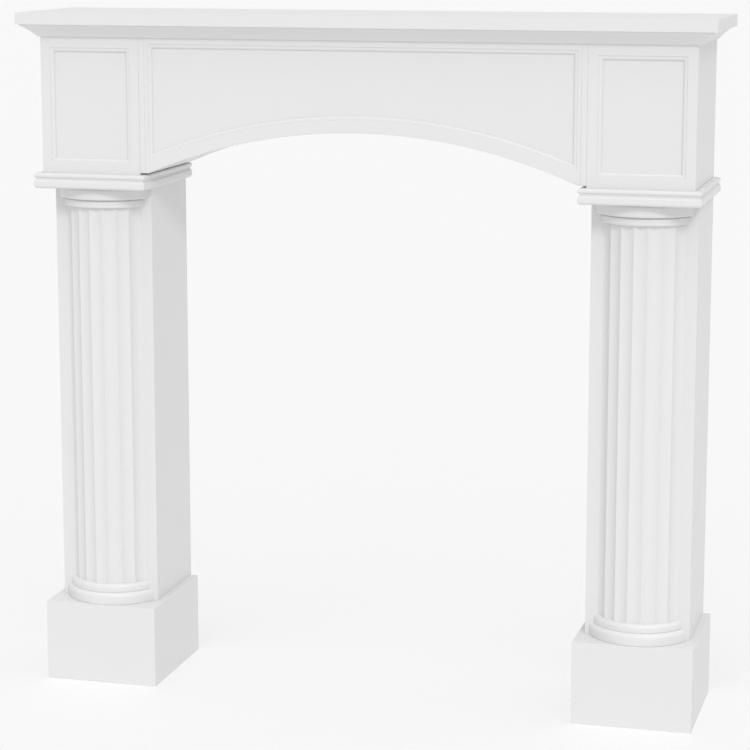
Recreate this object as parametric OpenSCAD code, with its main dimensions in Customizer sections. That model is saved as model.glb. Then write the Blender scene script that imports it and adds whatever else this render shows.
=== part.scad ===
// Fireplace mantelpiece: a white painted surround that stands against a wall.
// Two box legs on plinths each carry a fluted half column and a moulded capital board. Two
// panelled frieze blocks, an arched header and a cove moulding between them carry the shelf.
// It stands on its plinths at z = 0, centred on x = 0 and y = 0. The wall is behind it, at +y.
// "Depth" is always measured forward from the wall.

/* [Shelf] */
// Width of the shelf board
shelf_w = 1220; // [1060:2:1500]
// Thickness of the shelf board
shelf_t = 20.5; // [16:0.5:28]
// How far each end of the shelf stands out beyond the frieze block below it
shelf_over_end = 34; // [30:0.5:50]
// How far the front of the shelf stands out beyond the frieze
shelf_over_front = 30.5; // [30:0.5:50]

/* [Boards] */
// Thickness of the boards that the boxes and frames are made of
board_t = 18; // [15:0.5:22]
// Thickness of the recessed panels
panel_t = 9; // [6:0.5:10]
// Depth of a panel's face behind the face of its frame
panel_recess = 5.5; // [4:0.5:5.5]
// How far a panel's edge is let in behind its frame
panel_lap = 2.5; // [1.5:0.5:3]
// Clearance round a panel in its rebate
panel_fit = 0.5; // [0.2:0.1:0.8]

/* [Legs] */
// Width of a leg, and of the frieze block above it
leg_w = 182; // [150:1:220]
// Depth of a leg
leg_d = 180.5; // [150:0.5:220]
// Height of a leg between its plinth and its capital board
leg_h = 757; // [600:1:950]

/* [Half columns] */
// Distance of a column's axis behind the face of its leg
axis_back = 38.5; // [30:0.5:46]
// Flat margin of the leg's face on each side of the column's base
base_margin = 7; // [3:0.5:15]
// Number of flutes in the shaft
flutes = 7; // [5:1:9]
// Depth of a flute below the straight line between its edges
flute_sink = 2.8; // [1.5:0.1:4]
// Width of the flat land left between two flutes
flute_land = 0.8; // [0.6:0.1:3]
// Height of the lower round of the base
lower_round_h = 21.5; // [16:0.5:28]
// Radius of the rounding along its top
lower_round_top = 8; // [2:0.5:12]
// Height of the upper round of the base
upper_round_h = 14.5; // [10:0.5:20]
// Radius of the rounding along its top
upper_round_top = 7; // [2:0.5:7.5]
// Radius of the rounding along the foot of both rounds
round_foot = 1; // [0.5:0.5:2]
// How far the upper round stands back from the lower one
upper_round_step = 7; // [3:0.5:10]
// How far the shaft stands back from the upper round
shaft_step = 6.5; // [5:0.5:14]
// Height of the disc under the capital board
disc_h = 21; // [14:0.5:26]
// Radius of the rounding along its top
disc_top = 6; // [2:0.5:7]
// Radius of the rounding along its foot
disc_foot = 3; // [1:0.5:6]
// Height of the narrow neck under the disc
neck_h = 2; // [1.5:0.5:8]
// How far the neck stands back from the ring below it
neck_in = 2.5; // [1.5:0.5:6]
// Height of the ring at the top of the shaft
ring_h = 12.5; // [7:0.5:18]
// Radius of the rounding along both of its edges
ring_edge = 2; // [1:0.5:3]
// How far the ring stands out from the shaft
ring_out = 6; // [1.5:0.5:8]

/* [Capital boards] */
// How far a capital board stands out from each side of its leg
capital_side = 12.2; // [8:0.2:20]
// How far a capital board stands out in front of the disc below it
capital_front = 16; // [10:0.5:30]
// Height of the lower bead on its edge
capital_lower_h = 15.5; // [10:0.5:20]
// Height of the flat left along the lower bead
capital_lower_flat = 6; // [1:0.5:7]
// Height of the groove between the two beads
capital_groove_h = 3; // [2:0.5:6]
// Height of the upper bead
capital_upper_h = 8; // [6:0.5:12]
// Height of the flat left along the upper bead
capital_upper_flat = 1; // [0.5:0.5:3]
// Depth of the groove between the beads
capital_groove_in = 3; // [1.5:0.5:4]

/* [Plinths] */
// Height of a plinth
plinth_h = 145.5; // [100:0.5:200]
// How far a plinth stands out from each side of its leg
plinth_side = 13; // [8:0.5:25]
// How far a plinth stands out in front of the column's base
plinth_front = 1.5; // [1:0.5:20]

/* [Frieze blocks] */
// Height of a frieze block between the capital board and the shelf
block_h = 260; // [230:1:320]
// How far the face of the frieze stands back from the capital board's edge
block_step = 15; // [10:0.5:25]
// Width of the frame on each side of a block's panel
block_stile_w = 17.5; // [16:0.5:30]
// Width of the frame below the panel, and between the panel and the cove moulding
block_rail_w = 19; // [16:0.5:30]

/* [Cove moulding] */
// Height of the cove moulding under the shelf
crown_h = 21.7; // [18:0.1:28]
// How far the cove moulding stands out from the frieze
crown_out = 28; // [22:0.5:30]
// Height of the square lip along its lower edge
crown_lip_h = 3.6; // [2:0.1:6]
// How far that lip stands out from the frieze
crown_lip_out = 6.5; // [4:0.5:12]
// Height of the edge left along its top
crown_top_h = 1.2; // [0.8:0.1:3]
// How deeply the face between them is hollowed
crown_hollow = 1; // [0.8:0.1:3]

/* [Header] */
// Gap between the header and the capital boards below it
header_gap = 3.5; // [2:0.5:6]
// Rise of the arch from its springing to its crown
arch_rise = 78.2; // [60:0.2:95]
// Level shoulder on the header frame at each end of the arch
arch_shoulder = 5.3; // [3:0.1:12]
// Thickness of the boards that close the ends of the header
header_end_t = 10.3; // [8:0.1:18]
// Thickness of the curved board under the header
soffit_t = 6; // [4:0.5:10]
// Width of the header frame at its ends
header_stile_w = 6.5; // [5:0.5:14]
// Width of the header frame between the cove moulding and the panel moulding
header_rail_w = 11; // [8:0.5:20]
// Width of the header frame along the arch
arch_rail_w = 22.2; // [14:0.2:30]

/* [Panel mouldings] */
// Step from the frame's face down to the moulding
bead_step = 1.3; // [0.4:0.1:2]
// Width of the flat left along the top of the moulding, beside its quarter round
bead_flat_w = 2.8; // [1:0.1:6]

/* [Hidden] */

$fn = 96;
// Sides of the large circles of the arch
arch_fn = 720;
// How far a cut runs past each face that it goes through
cut_over = 1;
// Colour of the satin white paint
paint = [0.94, 0.94, 0.93];

// Columns: one axis for the base, the shaft and the cap
axis_d = leg_d - axis_back;
base_r = sqrt(pow(leg_w / 2 - base_margin, 2) + pow(axis_back, 2));
upper_round_r = base_r - upper_round_step;
shaft_r = upper_round_r - shaft_step;
ring_r = shaft_r + ring_out;

// Depths from the wall
plinth_d = axis_d + base_r + plinth_front;
capital_d = axis_d + base_r + capital_front;
block_d = capital_d - block_step;
shelf_d = block_d + shelf_over_front;
wall_y = shelf_d / 2;

// Heights
capital_h = capital_lower_h + capital_groove_h + capital_upper_h;
capital_z = plinth_h + leg_h;
block_z = capital_z + capital_h;
shelf_z = block_z + block_h;
header_z = block_z + header_gap;
base_h = lower_round_h + upper_round_h;
cap_h = disc_h + neck_h + ring_h;
shaft_h = leg_h - base_h - cap_h;

// Places along x
block_out = shelf_w / 2 - shelf_over_end;
leg_x = block_out - leg_w / 2;
block_in = block_out - leg_w;
header_half = block_in - header_end_t;
plinth_w = leg_w + 2 * plinth_side;

// Arch: a circle through both springing points and the crown
arch_half = header_half - arch_shoulder;
arch_r = (pow(arch_half, 2) + pow(arch_rise, 2)) / (2 * arch_rise);
arch_z = header_z + arch_rise - arch_r;

// Panel openings
opening_top_z = shelf_z - crown_h;
block_opening_w = leg_w - 2 * block_stile_w;
block_opening_z = block_z + block_rail_w;
block_opening_h = opening_top_z - block_rail_w - block_opening_z;
header_opening_half = header_half - header_stile_w;
header_opening_top = opening_top_z - header_rail_w;
panel_d = block_d - panel_recess;
bead_h = panel_recess - bead_step;

// ---- Placing helpers -------------------------------------------------------------------

// A slab drawn in x and z, with its front face at the given depth
module slab(depth, t)
    translate([0, wall_y - depth + t, 0])
        rotate([90, 0, 0])
            linear_extrude(t)
                children();

// A prism drawn in x and depth, standing on the level z
module upright(z, h)
    translate([0, wall_y, z])
        mirror([0, 1, 0])
            linear_extrude(h)
                children();

// A bar drawn in depth and z, running from x0 to x1
module bar(x0, x1)
    translate([x0, wall_y, 0])
        rotate([90, 0, 90])
            linear_extrude(x1 - x0)
                mirror([1, 0])
                    children();

// Places on the right-hand leg's centre line what is drawn round x = 0
module on_leg()
    translate([leg_x, 0, 0])
        children();

// The left-hand piece is the mirror image of the right-hand one
module left()
    mirror([1, 0, 0])
        children();

// ---- Shapes that repeat ----------------------------------------------------------------

// The front board of a box, mitred at both of its upright edges
module box_front(w, depth, z, h)
    upright(z, h)
        polygon([
            [-w / 2, depth],
            [w / 2, depth],
            [w / 2 - board_t, depth - board_t],
            [-w / 2 + board_t, depth - board_t]
        ]);

// The side board of a box at +x, mitred at its front edge and square at the wall
module box_side(w, depth, z, h)
    upright(z, h)
        polygon([
            [w / 2, 0],
            [w / 2, depth],
            [w / 2 - board_t, depth - board_t],
            [w / 2 - board_t, 0]
        ]);

// A level band, as wide as 2 * half and h high, rounded at both ends but for a flat
module band(half, h, flat) {
    nose = (h - flat) / 2;
    translate([nose - half, 0])
        square([2 * (half - nose), h]);
    translate([-half, nose])
        square([2 * half, flat]);
    for (x = [nose - half, half - nose])
        for (z = [nose, h - nose])
            translate([x, z])
                circle(nose);
}

// A turned round of radius r and height h, its edge rounded to the radii above and below
module turned_round(r, h, above, below)
    rotate_extrude() {
        square([r - below, h - above]);
        translate([0, below])
            square([r - above, h - below]);
        translate([0, below])
            square([r, h - above - below]);
        translate([r - below, below])
            circle(below);
        translate([r - above, h - above])
            circle(above);
    }

// Keeps only what stands in front of the leg's face, from a piece turned on the axis
module half_column(z, h)
    translate([leg_x, wall_y - axis_d, z])
        intersection() {
            union()
                children();
            translate([-base_r, -base_r, 0])
                cube([2 * base_r, base_r - axis_back, h]);
        }

// Section of a panel moulding: a flat from its outer edge at 0, then a quarter round
module bead_section() {
    square([bead_flat_w, bead_h]);
    intersection() {
        translate([bead_flat_w, 0])
            circle(bead_h);
        square(bead_flat_w + bead_h);
    }
}

// Puts what is drawn in x and z, and built up towards the room, on the panels' faces
module on_panel_face()
    translate([0, wall_y - panel_d, 0])
        rotate([90, 0, 0])
            children();

// A straight run of panel moulding: its outer edge lies along x = 0, down from y = 0
module bead_run(run)
    rotate([90, 0, 0])
        linear_extrude(run)
            bead_section();

// Section of the cove moulding: out from the frieze, and down from the shelf
module crown_section() {
    top = [crown_out, -crown_top_h];
    low = [crown_lip_out, crown_lip_h - crown_h];
    chord = norm(top - low);
    hollow_r = (pow(chord / 2, 2) + pow(crown_hollow, 2)) / (2 * crown_hollow);
    outward = [top[1] - low[1], low[0] - top[0]] / chord;
    difference() {
        polygon([
            [0, 0],
            [crown_out, 0],
            top,
            low,
            [crown_lip_out, -crown_h],
            [0, -crown_h]
        ]);
        translate((top + low) / 2 + outward * (hollow_r - crown_hollow))
            circle(hollow_r, $fn = arch_fn);
    }
}

// The area inside the header at a distance in from its arch, ends and top
module header_area(half, top, arch_in)
    difference() {
        translate([-half, header_z])
            square([2 * half, top - header_z]);
        translate([0, arch_z])
            circle(arch_r + arch_in, $fn = arch_fn);
    }

// A square opening in a frieze block, larger on every side by grow
module block_area(grow)
    translate([leg_x - block_opening_w / 2 - grow, block_opening_z - grow])
        square([block_opening_w + 2 * grow, block_opening_h + 2 * grow]);

// ---- Shelf and cove moulding -----------------------------------------------------------

module shelf()
    color(paint)
        translate([-shelf_w / 2, -shelf_d / 2, shelf_z])
            cube([shelf_w, shelf_d, shelf_t]);

module crown_front()
    color(paint)
        intersection() {
            bar(-block_out - crown_out, block_out + crown_out)
                translate([block_d, shelf_z])
                    crown_section();
            upright(shelf_z - crown_h, crown_h)
                polygon([
                    [-block_out, block_d],
                    [-block_out - crown_out, block_d + crown_out],
                    [block_out + crown_out, block_d + crown_out],
                    [block_out, block_d]
                ]);
        }

module crown_return()
    color(paint)
        intersection() {
            slab(block_d + crown_out, block_d + crown_out)
                translate([block_out, shelf_z])
                    crown_section();
            upright(shelf_z - crown_h, crown_h)
                polygon([
                    [block_out, 0],
                    [block_out, block_d],
                    [block_out + crown_out, block_d + crown_out],
                    [block_out + crown_out, 0]
                ]);
        }

// ---- Header ----------------------------------------------------------------------------

module header_frame()
    color(paint)
        difference() {
            slab(block_d, board_t)
                header_area(header_half, shelf_z, 0);
            slab(block_d + cut_over, board_t + 2 * cut_over)
                header_area(header_opening_half, header_opening_top, arch_rail_w);
            slab(panel_d, board_t)
                header_area(header_opening_half + panel_lap, header_opening_top + panel_lap,
                            arch_rail_w - panel_lap);
        }

module header_panel() {
    lap = panel_lap - panel_fit;
    color(paint)
        slab(panel_d, panel_t)
            header_area(header_opening_half + lap, header_opening_top + lap, arch_rail_w - lap);
}

module header_panel_moulding()
    color(paint)
        intersection() {
            slab(block_d, panel_recess)
                header_area(header_opening_half, header_opening_top, arch_rail_w);
            on_panel_face() {
                for (side = [0, 1])
                    mirror([side, 0, 0])
                        translate([-header_opening_half, header_opening_top, 0])
                            bead_run(header_opening_top - header_z);
                translate([header_opening_half, header_opening_top, 0])
                    rotate(-90)
                        bead_run(2 * header_opening_half);
                translate([0, arch_z, 0])
                    rotate_extrude($fn = arch_fn)
                        translate([arch_r + arch_rail_w, 0])
                            bead_section();
            }
        }

module header_end()
    color(paint)
        upright(header_z, shelf_z - header_z)
            translate([header_half, 0])
                square([header_end_t, block_d]);

module header_soffit()
    color(paint)
        slab(block_d - board_t, block_d - board_t)
            intersection() {
                header_area(header_half, header_z + arch_rise + soffit_t, 0);
                translate([0, arch_z])
                    circle(arch_r + soffit_t, $fn = arch_fn);
            }

// ---- Frieze blocks ---------------------------------------------------------------------

module block_frame()
    color(paint)
        difference() {
            on_leg()
                box_front(leg_w, block_d, block_z, block_h);
            slab(block_d + cut_over, board_t + 2 * cut_over)
                block_area(0);
            slab(panel_d, board_t)
                block_area(panel_lap);
        }

module block_panel()
    color(paint)
        slab(panel_d, panel_t)
            block_area(panel_lap - panel_fit);

module block_panel_moulding()
    color(paint)
        on_panel_face()
            translate([leg_x, block_opening_z + block_opening_h / 2, 0])
                for (turn = [0 : 3]) {
                    upright_run = turn % 2 == 0;
                    out = (upright_run ? block_opening_w : block_opening_h) / 2;
                    run = upright_run ? block_opening_h : block_opening_w;
                    rotate(90 * turn)
                        translate([-out, run / 2, 0])
                            bead_run(run);
                }

module block_outer_side()
    color(paint)
        on_leg()
            box_side(leg_w, block_d, block_z, block_h);

module block_inner_side()
    color(paint)
        on_leg()
            mirror([1, 0, 0])
                box_side(leg_w, block_d, block_z, block_h);

// ---- Capital boards --------------------------------------------------------------------

// The two beads and the groove of the moulded edge, as wide as 2 * half
module capital_outline(half) {
    band(half, capital_lower_h, capital_lower_flat);
    translate([-half + capital_groove_in, 0])
        square([2 * (half - capital_groove_in), capital_h]);
    translate([0, capital_lower_h + capital_groove_h])
        band(half, capital_upper_h, capital_upper_flat);
}

module capital_board() {
    half = leg_w / 2 + capital_side;
    color(paint)
        on_leg()
            intersection() {
                slab(capital_d, capital_d)
                    translate([0, capital_z])
                        capital_outline(half);
                bar(-half, half)
                    translate([0, capital_z])
                        capital_outline(capital_d);
            }
}

// ---- Legs ------------------------------------------------------------------------------

module leg_front()
    color(paint)
        on_leg()
            box_front(leg_w, leg_d, plinth_h, leg_h);

module leg_outer_side()
    color(paint)
        on_leg()
            box_side(leg_w, leg_d, plinth_h, leg_h);

module leg_inner_side()
    color(paint)
        on_leg()
            mirror([1, 0, 0])
                box_side(leg_w, leg_d, plinth_h, leg_h);

// ---- Half columns ----------------------------------------------------------------------

module column_base()
    color(paint)
        half_column(plinth_h, base_h) {
            turned_round(base_r, lower_round_h, lower_round_top, round_foot);
            translate([0, 0, lower_round_h])
                turned_round(upper_round_r, upper_round_h, upper_round_top, round_foot);
        }

module column_shaft() {
    half_angle = acos(axis_back / shaft_r);
    pitch = 2 * half_angle / flutes;
    half_chord = shaft_r * sin(pitch / 2) - flute_land / 2;
    flute_r = (pow(half_chord, 2) + pow(flute_sink, 2)) / (2 * flute_sink);
    flute_x = shaft_r * cos(pitch / 2) + flute_r - flute_sink;
    color(paint)
        half_column(plinth_h + base_h, shaft_h)
            linear_extrude(shaft_h)
                difference() {
                    circle(shaft_r);
                    for (i = [0 : flutes - 1])
                        rotate(-90 - half_angle + pitch * (i + 0.5))
                            translate([flute_x, 0])
                                circle(flute_r);
                }
}

module column_cap()
    color(paint)
        half_column(capital_z - cap_h, cap_h) {
            turned_round(ring_r, ring_h, ring_edge, ring_edge);
            cylinder(h = cap_h - disc_h, r = ring_r - neck_in);
            translate([0, 0, cap_h - disc_h])
                turned_round(base_r, disc_h, disc_top, disc_foot);
        }

// ---- Plinths ---------------------------------------------------------------------------

module plinth_front_board()
    color(paint)
        on_leg()
            box_front(plinth_w, plinth_d, 0, plinth_h);

module plinth_outer_board()
    color(paint)
        on_leg()
            box_side(plinth_w, plinth_d, 0, plinth_h);

module plinth_inner_board()
    color(paint)
        on_leg()
            mirror([1, 0, 0])
                box_side(plinth_w, plinth_d, 0, plinth_h);

module plinth_top()
    color(paint)
        on_leg()
            upright(plinth_h - board_t, board_t)
                translate([board_t - plinth_w / 2, 0])
                    square([plinth_w - 2 * board_t, plinth_d - board_t]);

// ---- Pieces ----------------------------------------------------------------------------

shelf();
crown_front();
left() crown_return();  // crown_left
crown_return();  // crown_right
header_frame();
header_panel();
header_panel_moulding();
left() header_end();  // header_end_left
header_end();  // header_end_right
header_soffit();
left() block_frame();  // block_frame_left
left() block_panel();  // block_panel_left
left() block_panel_moulding();  // block_panel_moulding_left
left() block_outer_side();  // block_outer_side_left
left() block_inner_side();  // block_inner_side_left
block_frame();  // block_frame_right
block_panel();  // block_panel_right
block_panel_moulding();  // block_panel_moulding_right
block_outer_side();  // block_outer_side_right
block_inner_side();  // block_inner_side_right
left() capital_board();  // capital_board_left
capital_board();  // capital_board_right
left() column_cap();  // column_cap_left
left() column_shaft();  // column_shaft_left
left() column_base();  // column_base_left
column_cap();  // column_cap_right
column_shaft();  // column_shaft_right
column_base();  // column_base_right
left() leg_front();  // leg_front_left
left() leg_outer_side();  // leg_outer_side_left
left() leg_inner_side();  // leg_inner_side_left
leg_front();  // leg_front_right
leg_outer_side();  // leg_outer_side_right
leg_inner_side();  // leg_inner_side_right
left() plinth_front_board();  // plinth_front_left
left() plinth_outer_board();  // plinth_outer_side_left
left() plinth_inner_board();  // plinth_inner_side_left
left() plinth_top();  // plinth_top_left
plinth_front_board();  // plinth_front_right
plinth_outer_board();  // plinth_outer_side_right
plinth_inner_board();  // plinth_inner_side_right
plinth_top();  // plinth_top_right
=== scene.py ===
"""A white painted fireplace mantelpiece on a pale studio floor.

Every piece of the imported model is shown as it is. This script eases its sharp arrises, paints it
in satin white with the faint marks of the brush, and sets up the camera, the floor and the light.
Lengths are in metres and angles in degrees unless a name says otherwise.
"""

import math

import bpy
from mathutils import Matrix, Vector


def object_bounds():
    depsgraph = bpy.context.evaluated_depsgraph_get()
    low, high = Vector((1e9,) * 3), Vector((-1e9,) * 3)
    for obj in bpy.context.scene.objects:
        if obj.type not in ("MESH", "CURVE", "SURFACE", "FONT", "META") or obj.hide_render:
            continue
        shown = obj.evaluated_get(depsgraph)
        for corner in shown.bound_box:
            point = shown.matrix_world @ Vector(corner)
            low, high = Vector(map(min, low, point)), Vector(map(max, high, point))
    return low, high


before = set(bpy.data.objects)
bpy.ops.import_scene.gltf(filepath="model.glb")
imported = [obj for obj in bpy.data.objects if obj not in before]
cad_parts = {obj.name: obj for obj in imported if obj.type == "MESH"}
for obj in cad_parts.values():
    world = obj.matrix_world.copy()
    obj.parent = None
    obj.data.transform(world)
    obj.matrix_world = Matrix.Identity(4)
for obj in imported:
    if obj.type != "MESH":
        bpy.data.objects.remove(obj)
cad_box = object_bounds()
low, high = cad_box
centre = (low + high) / 2


# ---- Camera --------------------------------------------------------------------------------

CAMERA_TURN = 15.16
CAMERA_RISE = 9.88
CAMERA_DISTANCE = 4.212
CAMERA_LENS_MM = 114.6
CAMERA_SHIFT_UP = -0.05
AIM_FROM_CENTRE = Vector((0.003, 0, 0.0374))


def outward(turn, rise):
    """The direction from the object to something at that turn to its right and that rise."""
    across, up = math.radians(turn), math.radians(rise)
    return Vector((math.sin(across) * math.cos(up), -math.cos(across) * math.cos(up), math.sin(up)))


def add_camera():
    lens = bpy.data.cameras.new("camera")
    lens.lens = CAMERA_LENS_MM
    lens.shift_y = CAMERA_SHIFT_UP
    camera = bpy.data.objects.new("camera", lens)
    back = outward(CAMERA_TURN, CAMERA_RISE)
    camera.location = centre + AIM_FROM_CENTRE + back * CAMERA_DISTANCE
    camera.rotation_euler = (-back).to_track_quat("-Z", "Y").to_euler()
    bpy.context.scene.collection.objects.link(camera)
    bpy.context.scene.camera = camera


add_camera()


# ---- Shader maths --------------------------------------------------------------------------


class Wire:
    """A value that changes over a surface. Adding and multiplying put Math nodes in its coat."""

    def __init__(self, coat, socket):
        self.coat = coat
        self.socket = socket

    def maths(self, operation, first, second):
        return self.coat.node("ShaderNodeMath", {"operation": operation}, {0: first, 1: second})

    def __add__(self, other):
        return self.maths("ADD", self, other)

    def __mul__(self, other):
        return self.maths("MULTIPLY", self, other)

    __radd__ = __add__
    __rmul__ = __mul__


class Coat:
    """A material that is put together node by node."""

    def __init__(self, name):
        self.material = bpy.data.materials.new(name)
        self.material.use_nodes = True
        self.tree = self.material.node_tree
        self.tree.nodes.clear()

    def node(self, kind, settings, inputs, output=0):
        """Adds a node: its settings first, then its sockets. Returns one of its outputs."""
        made = self.tree.nodes.new(kind)
        for name, value in settings.items():
            setattr(made, name, value)
        for name, value in inputs.items():
            if isinstance(value, Wire):
                self.tree.links.new(value.socket, made.inputs[name])
            else:
                made.inputs[name].default_value = value
        return Wire(self, made.outputs[output]) if made.outputs else None


# ---- Paint ---------------------------------------------------------------------------------

PAINT_WHITE = (0.735, 0.735, 0.735, 1)
PAINT_SHADE = (0.72, 0.72, 0.72, 1)
SATIN_ROUGHNESS = 0.36

CLOUDS_PER_METRE = 5
CLOUD_DETAIL = 4
CLOUD_DULLNESS = 0.06

STROKES_PER_METRE = 320
STROKE_STRETCH = 40
STROKE_DETAIL = 2
STROKE_DULLNESS = 0.1
STROKE_RELIEF = 0.7

STIPPLE_PER_METRE = 900
STIPPLE_RELIEF = 0.3

RELIEF_STRENGTH = 0.5
RELIEF_HEIGHT = 0.00005

# A Mix node that mixes colours has these sockets.
MIX_FACTOR, MIX_FIRST, MIX_SECOND = 0, 6, 7
MIX_RESULT = 2


def satin_white(name, brushed):
    """Satin white paint, laid off with a brush along the axes that brushed marks with a 1."""
    coat = Coat(name)
    place = coat.node("ShaderNodeTexCoord", {}, {}, "Object")
    strokes_along = STROKES_PER_METRE / STROKE_STRETCH
    stroke_scales = [strokes_along if axis else STROKES_PER_METRE for axis in brushed]
    stretched = coat.node("ShaderNodeVectorMath", {"operation": "MULTIPLY"},
                          {0: place, 1: stroke_scales})
    strokes = coat.node("ShaderNodeTexNoise", {},
                        {"Vector": stretched, "Scale": 1, "Detail": STROKE_DETAIL})
    stipple = coat.node("ShaderNodeTexNoise", {}, {"Vector": place, "Scale": STIPPLE_PER_METRE})
    clouds = coat.node("ShaderNodeTexNoise", {},
                       {"Vector": place, "Scale": CLOUDS_PER_METRE, "Detail": CLOUD_DETAIL})
    colour = coat.node("ShaderNodeMix", {"data_type": "RGBA"},
                       {MIX_FACTOR: clouds, MIX_FIRST: PAINT_WHITE, MIX_SECOND: PAINT_SHADE},
                       MIX_RESULT)
    relief = strokes * STROKE_RELIEF + stipple * STIPPLE_RELIEF
    bump = coat.node("ShaderNodeBump", {}, {"Height": relief, "Strength": RELIEF_STRENGTH,
                                            "Distance": RELIEF_HEIGHT})
    roughness = SATIN_ROUGHNESS + strokes * STROKE_DULLNESS + clouds * CLOUD_DULLNESS
    shine = coat.node("ShaderNodeBsdfPrincipled", {},
                      {"Base Color": colour, "Roughness": roughness, "Normal": bump})
    coat.node("ShaderNodeOutputMaterial", {}, {"Surface": shine})
    return coat.material


BRUSHED_ACROSS = (1, 0, 0)
BRUSHED_BACK = (0, 1, 0)
BRUSHED_UP = (0, 0, 1)
BRUSHED_ROUND = (1, 1, 0)

across = satin_white("satin_white_across", BRUSHED_ACROSS)
back_to_wall = satin_white("satin_white_back", BRUSHED_BACK)
upright = satin_white("satin_white_up", BRUSHED_UP)
turned = satin_white("satin_white_round", BRUSHED_ROUND)


def paint_of(name):
    """The paint of a piece: brushed along its length, or round it where it is turned."""
    if name.startswith(("column_base", "column_cap")):
        return turned
    if name in ("crown_left", "crown_right"):
        return back_to_wall
    if name.startswith(("shelf", "crown", "header", "capital", "plinth")) and "end" not in name:
        return across
    return upright


# ---- Pieces --------------------------------------------------------------------------------

ARRIS_WIDTH = 0.0007
ARRIS_STEPS = 2
SHARP_ANGLE = math.radians(35)
WELD_REACH = 0.00001
# Arched, moulded and turned pieces keep their own edges: a bevel would spoil their facets.
CURVED = ("column", "capital", "crown", "header_panel", "header_soffit", "block_panel_moulding")


def ease_arrises(piece):
    """Joins a board's corners and rounds its sharp edges a little, as sanding and paint do."""
    weld = piece.modifiers.new("weld", "WELD")
    weld.merge_threshold = WELD_REACH
    bevel = piece.modifiers.new("arris", "BEVEL")
    bevel.width = ARRIS_WIDTH
    bevel.segments = ARRIS_STEPS
    bevel.limit_method = "ANGLE"
    bevel.angle_limit = SHARP_ANGLE


for name, piece in sorted(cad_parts.items()):
    piece.data.materials.clear()
    piece.data.materials.append(paint_of(name))
    if not name.startswith(CURVED):
        ease_arrises(piece)


# ---- Studio --------------------------------------------------------------------------------

FLOOR_HALF = 60
FLOOR_WHITE = (0.94, 0.94, 0.94, 1)
FLOOR_GLOW = 0.3
FLOOR_ROUGHNESS = 0.7
MOTTLES_PER_METRE = 3
MOTTLE_DULLNESS = 0.1
SKY_WHITE = (1, 1, 1, 1)
SKY_STRENGTH = 0.7
LAMPS = {
    "key": {"turn": 29, "rise": 34, "strength": 0.86, "spread": 12},
    "front": {"turn": 0, "rise": 50, "strength": 0.41, "spread": 50},
    "top": {"turn": 0, "rise": 88, "strength": 0.6, "spread": 50},
}


def add_floor():
    """A pale floor with a little light of its own, as a lit studio table has."""
    corners = [(-FLOOR_HALF, -FLOOR_HALF, low.z), (FLOOR_HALF, -FLOOR_HALF, low.z),
               (FLOOR_HALF, FLOOR_HALF, low.z), (-FLOOR_HALF, FLOOR_HALF, low.z)]
    mesh = bpy.data.meshes.new("floor")
    mesh.from_pydata(corners, [], [(0, 1, 2, 3)])
    floor = bpy.data.objects.new("floor", mesh)
    bpy.context.scene.collection.objects.link(floor)
    coat = Coat("pale_floor")
    place = coat.node("ShaderNodeTexCoord", {}, {}, "Object")
    mottle = coat.node("ShaderNodeTexNoise", {}, {"Vector": place, "Scale": MOTTLES_PER_METRE})
    roughness = FLOOR_ROUGHNESS + mottle * MOTTLE_DULLNESS
    shine = coat.node("ShaderNodeBsdfPrincipled", {},
                      {"Base Color": FLOOR_WHITE, "Roughness": roughness,
                       "Emission Color": FLOOR_WHITE, "Emission Strength": FLOOR_GLOW})
    coat.node("ShaderNodeOutputMaterial", {}, {"Surface": shine})
    mesh.materials.append(coat.material)
    return floor


def add_lamp(name, turn, rise, strength, spread):
    """A lamp as far off as the sun. Its spread is how wide it looks, which softens the shadows."""
    light = bpy.data.lights.new(name, "SUN")
    light.energy = strength
    light.angle = math.radians(spread)
    lamp = bpy.data.objects.new(name, light)
    lamp.rotation_euler = outward(turn, rise).to_track_quat("Z", "Y").to_euler()
    bpy.context.scene.collection.objects.link(lamp)
    return lamp


def add_sky():
    """An even white light from all round."""
    world = bpy.data.worlds.new("studio")
    world.use_nodes = True
    background = world.node_tree.nodes["Background"]
    background.inputs["Color"].default_value = SKY_WHITE
    background.inputs["Strength"].default_value = SKY_STRENGTH
    bpy.context.scene.world = world


floor = add_floor()
unlit = bpy.data.collections.new("kept_evenly_pale")
unlit.objects.link(floor)
unlit.collection_objects[0].light_linking.link_state = "EXCLUDE"
for name, settings in LAMPS.items():
    lamp = add_lamp(name, **settings)
    lamp.light_linking.receiver_collection = unlit
add_sky()
bpy.context.scene.view_settings.view_transform = "Standard"
